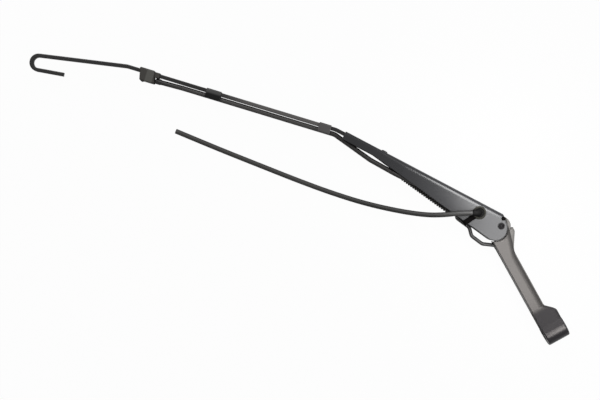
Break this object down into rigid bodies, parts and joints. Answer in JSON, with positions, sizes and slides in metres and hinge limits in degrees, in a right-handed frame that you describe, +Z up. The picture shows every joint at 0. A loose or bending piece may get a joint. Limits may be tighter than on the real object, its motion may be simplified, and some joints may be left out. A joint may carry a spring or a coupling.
{
  "type": "wiper arm",
  "caption": "Windscreen wiper arm with a sprung folded channel, bent flat bar ending in a blade hook, mounting head with spindle boss, and a washer hose feeding a jet block.",
  "frame": {"origin": "spindle axis at the seat face of the mounting boss", "axes": "+X along the arm from its nose to its pivot, +Y towards the outer face of the arm, +Z up with the arm lying on its side"},
  "size_m": [0.6043, 0.095, 0.0272],
  "materials": {
    "head_paint": "satin black-grey paint",
    "arm_paint": "satin black paint",
    "bar_paint": "black coating",
    "steel": "dark oiled steel",
    "plastic": "moulded",
    "bush": "moulded nylon",
    "rubber": "smooth extruded"
  },
  "bodies": {
    "head": {"mounting_head": "head_paint", "link_pin": "steel"},
    "arm": {"arm_channel": "arm_paint", "hook_bar": "bar_paint", "bar_rivet": "arm_paint", "hinge_pin": "steel", "hinge_washer_upper": "bush", "hinge_washer_lower": "bush", "tension_spring": "steel", "tube_clip_mid": "plastic", "tube_clip_bend": "plastic", "jet_block": "plastic", "spray_jets": "plastic", "feed_tube": "rubber", "tube_ferrule": "plastic", "hose_elbow": "rubber", "washer_hose": "rubber"},
    "link": {"spring_link": "steel"}
  },
  "joints": [
    {"name": "arm_pivot", "type": "hinge", "parent": "head", "child": "arm", "pos_m": [-0.08925, 0.07633, 0], "axis": [0, 0, -1], "range_deg": [0, 75], "stiffness_Nm_per_rad": 0.6, "springref_deg": -28.65, "deforming": ["tension_spring"]},
    {"name": "link_pivot", "type": "hinge", "parent": "head", "child": "link", "pos_m": [-0.08053, 0.05864, -0.0026], "axis": [0, 0, -1], "range_deg": [0, 66]}
  ],
  "couplings": [
    {"joint": "link_pivot", "follows": "arm_pivot", "ratio": 0.87}
  ]
}
